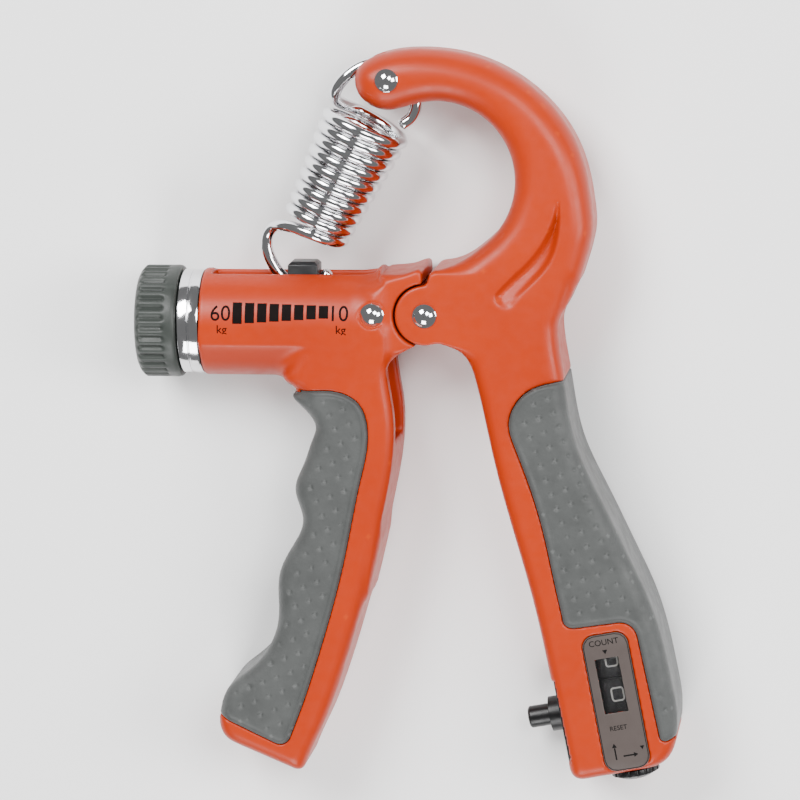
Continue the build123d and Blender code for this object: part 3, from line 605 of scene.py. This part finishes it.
def turned(name, start, axis, profile, around=96, shape=None):
    """A piece turned about an axis: profile holds (distance along, radius) from end to end."""
    start = np.array(start, float)
    axis = np.array(axis, float) / np.linalg.norm(axis)
    side = np.cross(axis, (0, 0, 1) if abs(axis[2]) < 0.9 else (0, 1, 0))
    side /= np.linalg.norm(side)
    third = np.cross(axis, side)
    points, faces = [], []
    for distance_along, radius in profile:
        for k in range(around):
            angle = 2 * pi * k / around
            r = radius if shape is None else shape(distance_along, angle, radius)
            outward = side * cos(angle) + third * sin(angle)
            points.append(row(start + axis * distance_along + outward * r))
    for ring in range(len(profile) - 1):
        for k in range(around):
            a, b = ring * around + k, ring * around + (k + 1) % around
            faces.append((a, b, b + around, a + around))
    last = (len(profile) - 1) * around
    faces.append(tuple(range(around - 1, -1, -1)))
    faces.append(tuple(range(last, last + around)))
    obj = solid(name, points, faces)
    finish_edges(obj)
    return obj


def finish_edges(obj, angle=38):
    """Merge doubled points, face outwards, and keep real corners sharp."""
    mesh = bmesh.new()
    mesh.from_mesh(obj.data)
    bmesh.ops.remove_doubles(mesh, verts=mesh.verts, dist=1e-7)
    bmesh.ops.recalc_face_normals(mesh, faces=mesh.faces)
    mesh.to_mesh(obj.data)
    mesh.free()
    obj.data.shade_smooth()
    obj.data.set_sharp_from_angle(angle=radians(angle))


def dome(radius, height, steps=8):
    """Profile of a domed head from its rim to its top, standing on 0."""
    ball = (radius ** 2 + height ** 2) / (2 * height)
    spread = acos((ball - height) / ball)
    angles = [spread * (1 - k / steps) for k in range(steps + 1)]
    return [(height - ball * (1 - cos(a)), max(ball * sin(a), 0.02)) for a in angles]


def rivet(name, node, body, pin_radius, half, radius=2.55, height=1.3):
    """A pin through the mid-plane with a domed head and a thin rim on each face."""
    place = middle(node)
    top = [(half, radius), (half + 0.1, radius)]
    top += [(half + h, r - 0.04) for h, r in dome(radius, height)[1:] if h > 0.1]
    under = [(-h, r) for h, r in reversed(top)]
    profile = under + [(-half, pin_radius), (half, pin_radius)] + top
    piece = turned(name, (place[0], place[1], 0), (0, 0, 1), profile, 48)
    return keep(piece, body, "chrome", CHROME, node)


def smooth_path(points, fine):
    """Points along a smooth curve through the given ones."""
    p = np.array(points, float)
    p = np.vstack((2 * p[0] - p[1], p, 2 * p[-1] - p[-2]))
    out = []
    for i in range(1, len(p) - 2):
        for k in range(fine):
            t = k / fine
            out.append(0.5 * (2 * p[i] + (p[i + 1] - p[i - 1]) * t
                              + (2 * p[i - 1] - 5 * p[i] + 4 * p[i + 1] - p[i + 2]) * t ** 2
                              + (3 * p[i] - p[i - 1] - 3 * p[i + 1] + p[i + 2]) * t ** 3))
    out.append(p[-2])
    return np.array(out)


def tube(name, path, radius, around=20, ends=(True, True)):
    """Round wire along a path, with rounded ends."""
    run = np.gradient(path, axis=0)
    run /= np.linalg.norm(run, axis=1)[:, None]
    side = np.cross(run[0], (0.3, 0.2, 1))
    side /= np.linalg.norm(side)
    rings = []
    for k, point in enumerate(path):
        side = side - run[k] * side.dot(run[k])
        side /= np.linalg.norm(side)
        rings.append((point, run[k], side, radius))
    if ends[0]:
        point, along_it, side, r = rings[0]
        rings[:0] = [(point - along_it * r * sin(a) * 0.6, along_it, side, r * cos(a))
                     for a in (1.4, 1.0, 0.5)]
    if ends[1]:
        point, along_it, side, r = rings[-1]
        rings += [(point + along_it * r * sin(a) * 0.6, along_it, side, r * cos(a))
                  for a in (0.5, 1.0, 1.4)]
    points, faces = [], []
    for point, along_it, side, r in rings:
        third = np.cross(along_it, side)
        for k in range(around):
            angle = 2 * pi * k / around
            points.append(row(point + (side * cos(angle) + third * sin(angle)) * r))
    for ring in range(len(rings) - 1):
        for k in range(around):
            a, b = ring * around + k, ring * around + (k + 1) % around
            faces.append((a, b, b + around, a + around))
    last = (len(rings) - 1) * around
    faces.append(tuple(range(around - 1, -1, -1)))
    faces.append(tuple(range(last, last + around)))
    obj = solid(name, points, faces)
    finish_edges(obj, 60)
    return obj


def rounded(node, name, width, body, slot, material, segments=3):
    """A CAD piece with its sharp edges rounded."""
    obj = bpy.data.objects.new(name, frame["nodes"][node].data.copy())
    bpy.context.scene.collection.objects.link(obj)
    mesh = bmesh.new()
    mesh.from_mesh(obj.data)
    bmesh.ops.remove_doubles(mesh, verts=mesh.verts, dist=1e-6)
    bmesh.ops.dissolve_limit(mesh, angle_limit=radians(1.5), verts=mesh.verts, edges=mesh.edges)
    sharp = [edge for edge in mesh.edges
             if len(edge.link_faces) == 2 and edge.calc_face_angle(0) > radians(32)]
    bmesh.ops.bevel(mesh, geom=sharp, offset=width * MM, segments=segments, profile=0.5, affect="EDGES",
                    clamp_overlap=True)
    bmesh.ops.triangulate(mesh, faces=[face for face in mesh.faces if len(face.verts) > 4])
    mesh.to_mesh(obj.data)
    mesh.free()
    obj.data.shade_smooth()
    obj.data.set_sharp_from_angle(angle=radians(30))
    return keep(obj, body, slot, material, node)


def lettering(text, height):
    """Flat outlines of some text, centred, as points and faces in millimetres."""
    curve = bpy.data.curves.new("lettering", "FONT")
    curve.body = text
    curve.size = 1
    curve.resolution_u = 4
    holder = bpy.data.objects.new("lettering", curve)
    bpy.context.scene.collection.objects.link(holder)
    flat = bpy.data.meshes.new_from_object(holder)
    bpy.data.objects.remove(holder)
    bpy.data.curves.remove(curve)
    mesh = bmesh.new()
    mesh.from_mesh(flat)
    bpy.data.meshes.remove(flat)
    rows = [v.co.y for v in mesh.verts]
    columns = [v.co.x for v in mesh.verts]
    scale = height / (max(rows) - min(rows))
    for vertex in mesh.verts:
        vertex.co.x = (vertex.co.x - (max(columns) + min(columns)) / 2) * scale
        vertex.co.y = (vertex.co.y - (max(rows) + min(rows)) / 2) * scale
    bmesh.ops.triangulate(mesh, faces=mesh.faces)
    for _ in range(3):
        long_edges = [edge for edge in mesh.edges if edge.calc_length() > 0.6]
        if long_edges:
            bmesh.ops.subdivide_edges(mesh, edges=long_edges, cuts=1)
            bmesh.ops.triangulate(mesh, faces=[face for face in mesh.faces if len(face.verts) > 3])
    mesh.verts.ensure_lookup_table()
    points = [(v.co.x, v.co.y) for v in mesh.verts]
    faces = [[v.index for v in face.verts] for face in mesh.faces]
    mesh.free()
    return points, faces


def stroke(line, width, closed=False):
    """A ribbon of one width along a flat line."""
    p = np.array(line, float)
    ahead = np.roll(p, -1, 0) - p
    behind = p - np.roll(p, 1, 0)
    if not closed:
        ahead[-1] = behind[-1]
        behind[0] = ahead[0]
    normal = ahead / np.linalg.norm(ahead, axis=1)[:, None]
    normal = normal + behind / np.linalg.norm(behind, axis=1)[:, None]
    normal = np.stack((-normal[:, 1], normal[:, 0]), 1)
    normal /= np.linalg.norm(normal, axis=1)[:, None]
    points = [tuple(q) for q in p + normal * width / 2] + [tuple(q) for q in p - normal * width / 2]
    count = len(p)
    faces = [(i, (i + 1) % count, count + (i + 1) % count, count + i)
             for i in range(count if closed else count - 1)]
    return points, faces


def panel(left, right, low, high, columns=2, rows=10):
    """A flat patch divided finely enough to bend."""
    points = [(left + (right - left) * i / columns, low + (high - low) * j / rows)
              for i in range(columns + 1) for j in range(rows + 1)]
    step_on = rows + 1
    corners = [i * step_on + j for i in range(columns) for j in range(rows)]
    faces = [(k, k + step_on, k + step_on + 1, k + 1) for k in corners]
    return points, faces


def printed(name, shapes, lay, body, slot, material):
    """Thin print: flat shapes laid on a surface by a function of (x, y, height above it)."""
    points, faces = [], []
    for (at_x, at_y), (flat, flat_faces) in shapes:
        for height in (0.03, -0.03):
            base = len(points)
            points += [row(lay(at_x + x, at_y + y, height)) for x, y in flat]
            faces += [tuple(base + i for i in face) for face in flat_faces]
    obj = solid(name, points, faces, smooth=False)
    mesh = bmesh.new()
    mesh.from_mesh(obj.data)
    bmesh.ops.recalc_face_normals(mesh, faces=mesh.faces)
    mesh.to_mesh(obj.data)
    mesh.free()
    return keep(obj, body, slot, material)


# ---- rivets, ferrule, knob and lead screw ----
rivet("pivot_rivet_domed", "pivot_rivet", "hook_frame", 2.0, HINGE_HALF + 0.12)
rivet("spring_pin_domed", "spring_pin", "hook_frame", 1.6, 7.95, 2.45, 1.2)
rivet("bush_rivet_domed", "bush_rivet", "left_handle", 1.3, 10.62)

KNOB_LEFT, RIBS = -63.0, 34


def knob_rib(x, angle, radius):
    """Soft rounded ribs between the knob's plain bands."""
    band = step(np.array(x - KNOB_LEFT), 1.0, 2.2) * (1 - step(np.array(x - KNOB_LEFT), 6.4, 7.2))
    return radius - 0.62 * float(band) * (0.5 - 0.5 * cos(RIBS * angle)) ** 1.6 if radius > 10 else radius


def knob():
    """The ribbed tension knob, hollow towards the ferrule."""
    outside = [(0.75, 3.0), (0.55, 5.5), (0.35, 8.0), (0.3, 9.4), (0.5, 10.4), (0.9, 11.2), (1.4, 11.75)]
    outside += [(1.4 + 0.35 * k, 11.95 + 0.1 * min(k, 1)) for k in range(1, 17)]
    outside += [(7.4, 12.05), (8.5, 12.08), (9.1, 12.0), (9.4, 11.8), (9.5, 11.5), (9.5, 10.2)]
    inside = [(3.2, 9.9), (3.0, 9.7), (3.0, 6.7), (3.2, 6.5), (9.5, 6.4), (9.5, 3.05), (3.0, 3.0)]
    profile = [(1.9, 1.35), (1.9, 2.75), (0.9, 2.75)] + outside + inside + [(3.0, 1.35)]
    profile = [(KNOB_LEFT + x, r) for x, r in profile]
    return ring("tension_knob_ribbed", profile, RIBS * 10, "knob", "knob", KNOB, "tension_knob", knob_rib)


def ring(name, profile, around, body, slot, material, node, shape=None):
    """A hollow turned piece on the barrel's axis whose profile runs round and closes on itself."""
    piece = turned(name, (0, BARREL_Y, 0), (1, 0, 0), profile, around, shape)
    mesh = bmesh.new()
    mesh.from_mesh(piece.data)
    caps = [face for face in mesh.faces if len(face.verts) > 4]
    bmesh.ops.delete(mesh, geom=caps, context="FACES_ONLY")
    rims = [edge for edge in mesh.edges if len(edge.link_faces) == 1]
    bmesh.ops.bridge_loops(mesh, edges=rims)
    bmesh.ops.recalc_face_normals(mesh, faces=mesh.faces)
    mesh.to_mesh(piece.data)
    mesh.free()
    piece.data.set_sharp_from_angle(angle=radians(38))
    return keep(piece, body, slot, material, node)


knob()

ferrule = [(0, 8.7), (0, 11.1), (-0.25, 11.2), (-1.9, 11.2), (-2.0, 11.0), (-2.15, 10.95), (-2.3, 11.0),
           (-2.4, 11.2), (-4.1, 11.2), (-4.4, 11.1), (-4.5, 10.9), (-4.5, 7.95), (1.2, 7.95), (1.2, 8.7)]
ring("ferrule_grooved", [(BARREL_LEFT - 0.02 + x, r) for x, r in ferrule], 128,
     "left_handle", "chrome", CHROME, "ferrule")


def thread(x, angle, radius):
    """The lead screw's thread: a rounded ridge that climbs 2 mm a turn."""
    if not -46.8 < x < -16.6 or radius != 2.5:
        return radius
    phase = (x / 2 - angle / (2 * pi)) % 1
    return 2.5 - 0.42 * abs(2 * phase - 1)


screw = [(-60.0, 2.9), (-48.3, 2.9), (-48.3, 4.95), (-47.45, 4.95), (-47.45, 2.5)]
screw += [(-47.0 + 0.25 * k, 2.5) for k in range(123)]
screw += [(-16.0, 2.4), (-16.0, 1.4), (-11.8, 1.4), (-11.65, 1.25)]
keep(turned("lead_screw_threaded", (0, BARREL_Y, 0), (1, 0, 0), screw, 32, thread),
     "knob", "steel", STEEL, "lead_screw")

# ---- tension spring: made as a lower and an upper half ----
COIL_LOW, COIL_TOP = np.array((-24.4, 17.6, 0)), np.array((-12.9, 40.4, 0))
COIL_LOW_R, COIL_TOP_R, TURNS, SPLIT = 6.5, 8.55, 9.35, 4.5
COIL_AXIS = COIL_TOP - COIL_LOW
COIL_SIDE = np.array((COIL_AXIS[1], -COIL_AXIS[0], 0)) / np.linalg.norm(COIL_AXIS)


def coil(first, last):
    """Middle of the spring's wire between two counts of turns."""
    out = []
    for turn in np.arange(first, last + 1e-6, 1 / 12):
        radius = COIL_LOW_R + (COIL_TOP_R - COIL_LOW_R) * turn / TURNS
        flat = COIL_LOW + COIL_AXIS * turn / TURNS + COIL_SIDE * radius * cos(2 * pi * turn)
        out.append(flat - np.array((0, 0, radius * sin(2 * pi * turn))))
    return out


hook = [(-22, 7.6, 0), (-23.9, 5.4, 0), (-27.3, 4.6, 0), (-31.4, 6.4, 0), (-33.6, 9.2, 0), (-35, 12.4, 0),
        (-35, 15.6, 0.2), (-33.2, 17.8, 1.4), (-29.8, 18.2, 4.2)]
loop = [(-19.6, 44.2, -3.2), (-20, 46.2, -0.7), (-18.4, 48.9, 0), (-15.3, 51.5, 0), (-11.8, 52.8, 0),
        (-8, 52.75, 0), (-4.6, 50.6, 0), (-2.9, 47.2, 0), (-2.6, 43.7, 0), (-3.5, 41.2, 0), (-5.4, 39.7, 0)]
split = COIL_LOW + COIL_AXIS * SPLIT / TURNS
lower = tube("spring_lower", smooth_path(hook + coil(-0.25, SPLIT), 4), WIRE_R - 0.01, ends=(True, False))
lower.data.materials.append(CHROME)
row(split)
row(COIL_LOW)
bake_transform(lower)
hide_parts("tension_spring")
upper = tube("spring_upper", smooth_path(coil(SPLIT, 9.34) + loop, 4), WIRE_R - 0.01, ends=(False, True))
upper.data.materials.append(CHROME)
row(COIL_TOP + COIL_AXIS * 0.08)
row(split)
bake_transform(upper)

# ---- plunger's spring: a fine coil in the counter ----
SHOULDER, SEAT = -9.5, -3.4
PRESS_U, PRESS_Z = -7.6, -4.9
FINE_COIL_R, FINE_WIRE_R = 2.0, 0.2
turns = [counter_place(SHOULDER + 0.4 + (SEAT - SHOULDER - 0.8) * k / 96,
                       PRESS_U + FINE_COIL_R * cos(pi * k / 12), PRESS_Z + FINE_COIL_R * sin(pi * k / 12))
         for k in range(97)]
small = tube("plunger_spring_coil", smooth_path(turns, 2), FINE_WIRE_R, 12)
small.data.materials.append(STEEL)
row(counter_place(SHOULDER, PRESS_U, PRESS_Z))
row(counter_place(SEAT, PRESS_U, PRESS_Z))
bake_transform(small)
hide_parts("plunger_spring")

# ---- CAD pieces with rounded edges ----
rounded("spring_carriage", "spring_carriage_moulded", 0.35, "carriage", "black", BLACK)
rounded("side_plate", "side_plate_moulded", 0.25, "hook_frame", "black", BLACK)
rounded("plunger", "plunger_moulded", 0.2, "plunger", "black", BLACK)
rounded("reset_knob", "reset_knob_moulded", 0.2, "reset", "black", BLACK, 2)
rounded("counter_label", "counter_label_plate", 0.12, "hook_frame", "label", PLATE, 2)
rounded("counter_case", "counter_case_moulded", 0.15, "hook_frame", "black", BLACK, 2)

# ---- number drums ----
DRUM_R = 6.1
WIDE, TALL = 1.25, 1.4  # half sizes of a digit


def corner_box(w, h, r=0.5):
    """A closed line round a box with rounded corners."""
    return [(sx * (w - r) + r * cos(a), sy * (h - r) + r * sin(a))
            for sx, sy, first in ((1, 1, 0), (-1, 1, 90), (-1, -1, 180), (1, -1, 270))
            for a in (radians(first + turn) for turn in (0, 30, 60, 90))]


DIGITS = {
    0: [(corner_box(WIDE, TALL), True)],
    1: [([(-0.6, 0.8), (0, 1.4), (0.01, -1.4)], False)],
    2: [([(-1.2, 0.9), (-0.7, 1.4), (0.8, 1.4), (1.2, 0.9), (1.1, 0.2), (-1.2, -1.4), (1.25, -1.4)], False)],
    3: [([(-1.2, 1.4), (1.1, 1.4), (0.1, 0.3), (0.9, 0.1), (1.2, -0.6), (0.7, -1.4), (-1.2, -1.35)], False)],
    4: [([(0.6, -1.4), (0.6, 1.4), (-1.2, -0.6), (1.25, -0.6)], False)],
    5: [([(1.1, 1.4), (-1.0, 1.4), (-1.1, 0.2), (0.7, 0.2), (1.2, -0.5), (0.7, -1.4), (-1.2, -1.35)], False)],
    6: [([(1.0, 1.4), (-0.5, 1.1), (-1.2, 0), (-1.1, -0.9), (-0.6, -1.4), (0.7, -1.4), (1.2, -0.7), (0.6, 0.1),
          (-1.0, 0.1)], False)],
    7: [([(-1.2, 1.4), (1.2, 1.4), (-0.3, -1.4)], False)],
    8: [([(x, 0.72 + y) for x, y in corner_box(1.0, 0.68, 0.4)], True),
        ([(x, -0.68 + y) for x, y in corner_box(1.2, 0.72, 0.4)], True)],
    9: [([(-1.0, -1.4), (0.5, -1.1), (1.2, 0), (1.1, 0.9), (0.6, 1.4), (-0.7, 1.4), (-1.2, 0.7), (-0.6, -0.1),
          (1.0, -0.1)], False)],
}


def digits(node, joint, body):
    """Ten painted numbers round a drum."""
    centre = np.array(JOINT[joint]["pos_m"]) / MM - PIVOT
    shift_u = float(np.dot(middle(node)[:2] - centre[:2], (-sin(LEAN), cos(LEAN))))

    def lay(x, y, height):
        angle = x / DRUM_R
        out = DRUM_R + 0.03 + height
        v = out * sin(angle)
        u = y + (0.75 if node == "ones_drum" else 0) + shift_u
        return (centre[0] + v * cos(LEAN) - u * sin(LEAN), centre[1] + v * sin(LEAN) + u * cos(LEAN),
                centre[2] + out * cos(angle))

    shapes = []
    for number, lines in DIGITS.items():
        for line, closed in lines:
            fine = np.array(line, float)
            shapes.append(((-2 * pi * DRUM_R * number / 10, 0), stroke(fine, 0.36, closed)))
    printed(node + "_digits", shapes, lay, body, "drum", DIGIT)


digits("ones_drum", "ones_turn", "ones_drum")
digits("tens_drum", "tens_turn", "tens_drum")

# ---- print on the label and the barrel ----
LABEL_TOP = reach("counter_label")[1][2]


def on_label(x, y, height):
    return counter_place(x, y, LABEL_TOP + 0.02 + height)


def triangle(size, turn=0):
    angles = [radians(turn + a) for a in (180, 300, 60)]
    return [(size * sin(a), size * cos(a)) for a in angles], [(0, 1, 2)]


printed("label_print",
        [((0.1, 9.6), lettering("COUNT", 1.25)), ((0.0, 7.6), triangle(0.62)),
         ((-0.2, -9.3), lettering("RESET", 1.0)),
         ((-1.9, -14.6), stroke([(0, -1.6), (0, 1.0)], 0.3)), ((-1.9, -13.2), triangle(0.6, 180)),
         ((1.0, -15.6), stroke([(-1.3, 0), (1.0, 0)], 0.3)), ((2.3, -15.6), triangle(0.6, 270)),
         ((4.0, -14.2), triangle(0.55))],
        on_label, "hook_frame", "label", INK)
frame_line = corner_box(LABEL[0] / 2 - 0.2, LABEL[1] / 2 - 0.2, 2.4)
printed("label_border", [(LABEL_AT, stroke(frame_line, 0.14, True))],
        on_label, "hook_frame", "label", INK)


def on_barrel(x, y, height):
    return (x, y, sqrt(BARREL_R ** 2 - (y - BARREL_Y) ** 2) + 0.03 + height)


bars = []
for k in range(8):
    share = k / 7
    top, bottom = 2.6 - 0.55 * share, -1.8 + 1.25 * share
    left = -41.0 + 2.65 * k
    bars.append(((0, 0), panel(left, left + 2.0, bottom, top)))
printed("scale_print",
        bars + [((-43.6, 0.4), lettering("60", 3.2)), ((-43.3, -3.3), lettering("kg", 2.3)),
                ((-17.9, 0.5), lettering("10", 3.2)), ((-17.7, -3.2), lettering("kg", 2.3))],
        on_barrel, "left_handle", "shell", PRINT)


def dress(material, *nodes):
    for node in nodes:
        mesh = frame["nodes"][node].data
        mesh.materials.clear()
        mesh.materials.append(material)


dress(STEEL, "pivot_washers", "thrust_washer", "knob_screw", "reset_shaft", "feed_pawl")
dress(BRASS, "pivot_sleeve", "end_bush", "screw_bearing", "carriage_nut")
dress(DRUM, "ones_drum", "tens_drum")
dress(LENS, "counter_lens")


# ---- studio ----
def studio():
    """A pale floor, soft lights and the camera at the viewing angle."""
    target = Vector(((PIVOT[0] - 6.7) * MM, (PIVOT[1] - 19.8) * MM, MID * MM))
    toward = Vector((0.13, 0.17, 1)).normalized()
    sensor, far, seen = 36, 0.9, 0.172  # millimetres, then metres to the target and across the view there
    camera = bpy.data.cameras.new("camera")
    camera.sensor_width = sensor
    camera.lens = sensor * far / seen
    eye = bpy.data.objects.new("camera", camera)
    bpy.context.scene.collection.objects.link(eye)
    eye.location = target + toward * far
    level = Vector((1, 0, 0)) - toward * toward.x
    right = (level.normalized() + Vector((0, 1, 0)).cross(toward).normalized()).normalized()
    up = toward.cross(right)
    eye.rotation_euler = Matrix((right, up, toward)).transposed().to_euler()
    bpy.context.scene.camera = eye
    floor_mesh = bpy.data.meshes.new("floor")
    edge = 1.5
    corners = [(-edge, -edge, 0), (edge, -edge, 0), (edge, edge, 0), (-edge, edge, 0)]
    floor_mesh.from_pydata(corners, [], [(0, 1, 2, 3)])
    floor = bpy.data.objects.new("floor", floor_mesh)
    bpy.context.scene.collection.objects.link(floor)
    pale = Finish("pale_floor", (0.9, 0.9, 0.9, 1), 0.9).material
    floor_mesh.materials.append(pale)
    lamps = (("key", (-0.4, 0.6, 0.8), 0.5, 18), ("fill", (0.75, 0.1, 0.6), 0.4, 7),
             ("low", (-0.1, -0.8, 0.6), 0.5, 10), ("top", (0.5, 0.45, 1.1), 0.5, 12))
    for name, place, width, power in lamps:
        lamp = bpy.data.lights.new(name, "AREA")
        lamp.size = width
        lamp.energy = power
        holder = bpy.data.objects.new(name, lamp)
        bpy.context.scene.collection.objects.link(holder)
        holder.location = place
        aim = Vector(place) - target
        holder.rotation_euler = aim.to_track_quat("Z", "Y").to_euler()
    world = bpy.data.worlds.new("studio")
    bpy.context.scene.world = world
    world.use_nodes = True
    world.node_tree.nodes["Background"].inputs["Color"].default_value = (1, 1, 1, 1)
    world.node_tree.nodes["Background"].inputs["Strength"].default_value = 0.2


studio()
